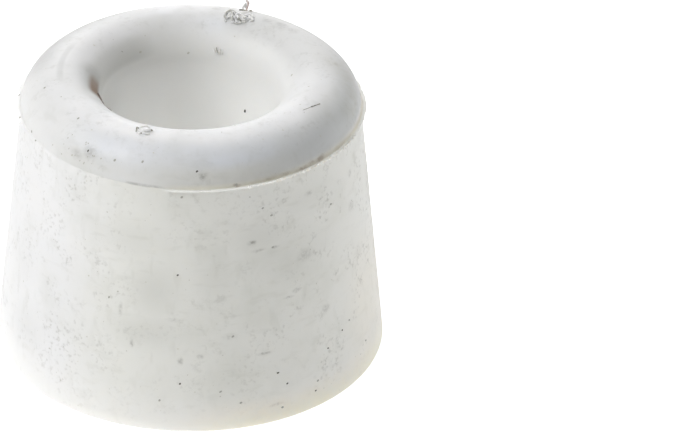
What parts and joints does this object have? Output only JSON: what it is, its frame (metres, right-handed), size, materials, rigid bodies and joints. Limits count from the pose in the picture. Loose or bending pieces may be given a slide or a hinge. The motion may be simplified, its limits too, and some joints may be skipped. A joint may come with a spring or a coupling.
{
  "type": "door bumper",
  "caption": "Moulded off-white rubber door bumper: a drafted cone, wide end down, with a thick rolled rim round a deep screw recess and a central screw hole.",
  "frame": {"origin": "centre of the flat face that is screwed down", "axes": "+Z along the screw hole's axis, from the fixing face up to the rim"},
  "size_m": [0.04, 0.04, 0.0305],
  "materials": {
    "rubber": "moulded off-white rubber, satin to matt, speckled with dirt"
  },
  "bodies": {
    "root": {"bumper": "rubber"}
  },
  "joints": []
}
